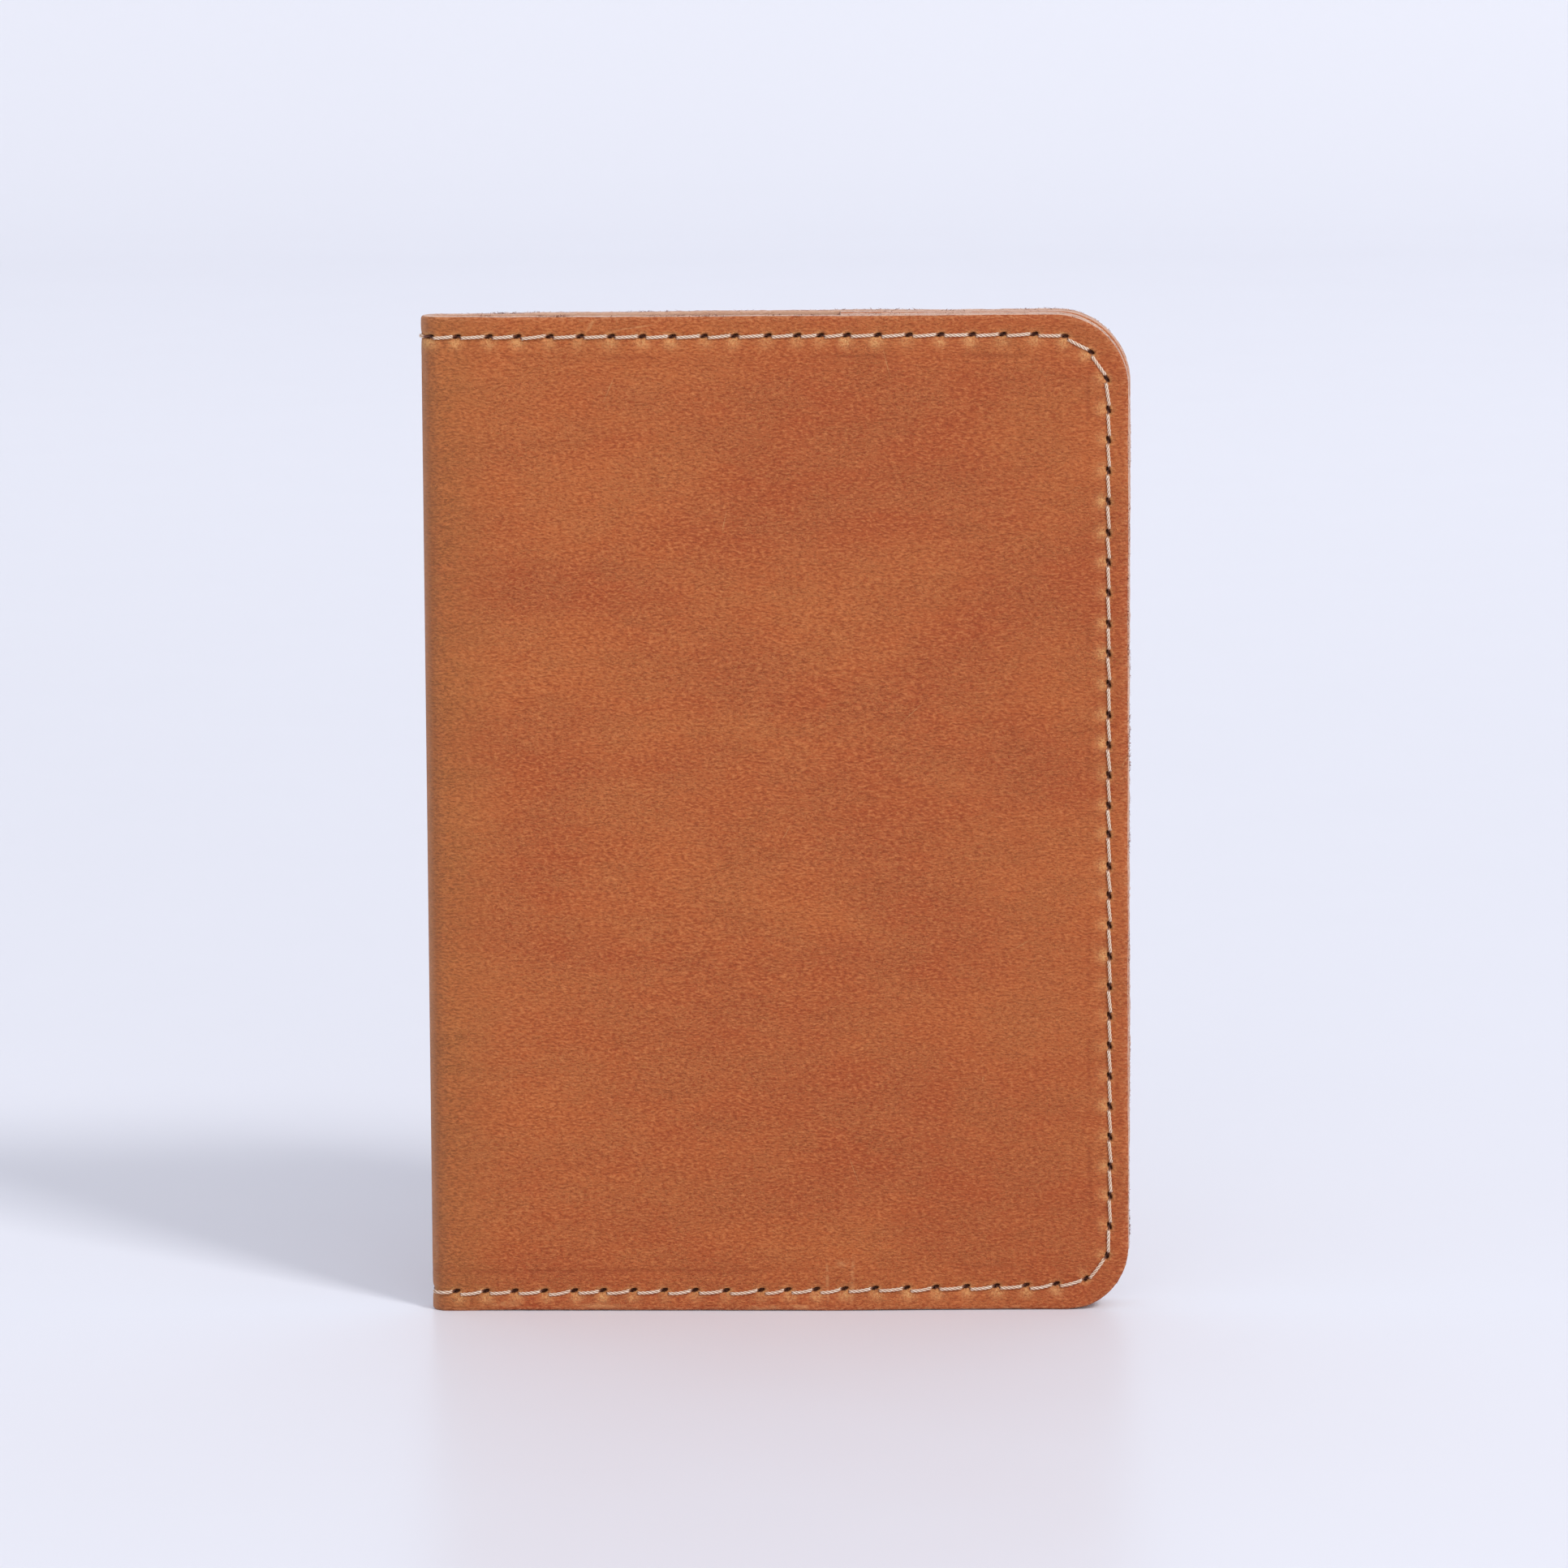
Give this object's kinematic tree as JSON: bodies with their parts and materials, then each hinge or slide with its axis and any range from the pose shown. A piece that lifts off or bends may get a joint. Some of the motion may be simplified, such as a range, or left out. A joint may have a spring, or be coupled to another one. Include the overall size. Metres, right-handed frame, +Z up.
{
  "type": "card holder",
  "caption": "Upright bifold leather case for cards and a passport-size booklet, with rounded corners, edge stitching and an inner sleeve flap on each cover.",
  "frame": {"origin": "middle of the closed case's footprint, on the surface it stands on", "axes": "+Z up along the height; the front cover faces -Y and the back cover +Y; the fold is at -X and the free edges are at +X"},
  "size_m": [0.0984, 0.0088, 0.14],
  "materials": {
    "cover_leather": "waxy pull-up leather, saddle tan",
    "flap_leather": "waxy pull-up leather, saddle tan",
    "thread": "glossy twisted polyester thread, cream"
  },
  "bodies": {
    "back": {"back_cover": "cover_leather", "back_flap": "flap_leather", "back_stitches_outside": "thread", "back_stitches_inside": "thread"},
    "fold": {"spine": "cover_leather", "spine_stitch_top": "thread", "spine_stitch_bottom": "thread", "spine_stitch_top_inside": "thread", "spine_stitch_bottom_inside": "thread"},
    "front": {"front_cover": "cover_leather", "front_flap": "flap_leather", "front_stitches_outside": "thread", "front_stitches_inside": "thread"}
  },
  "joints": [
    {"name": "back_bend", "type": "hinge", "parent": "back", "child": "fold", "pos_m": [-0.04753, 0.00118, 0], "axis": [0, 0, -1], "range_deg": [0, 90]},
    {"name": "front_bend", "type": "hinge", "parent": "fold", "child": "front", "pos_m": [-0.04753, -0.00118, 0], "axis": [0, 0, -1], "range_deg": [0, 90]}
  ],
  "couplings": [
    {"joint": "front_bend", "follows": "back_bend", "ratio": 1}
  ]
}
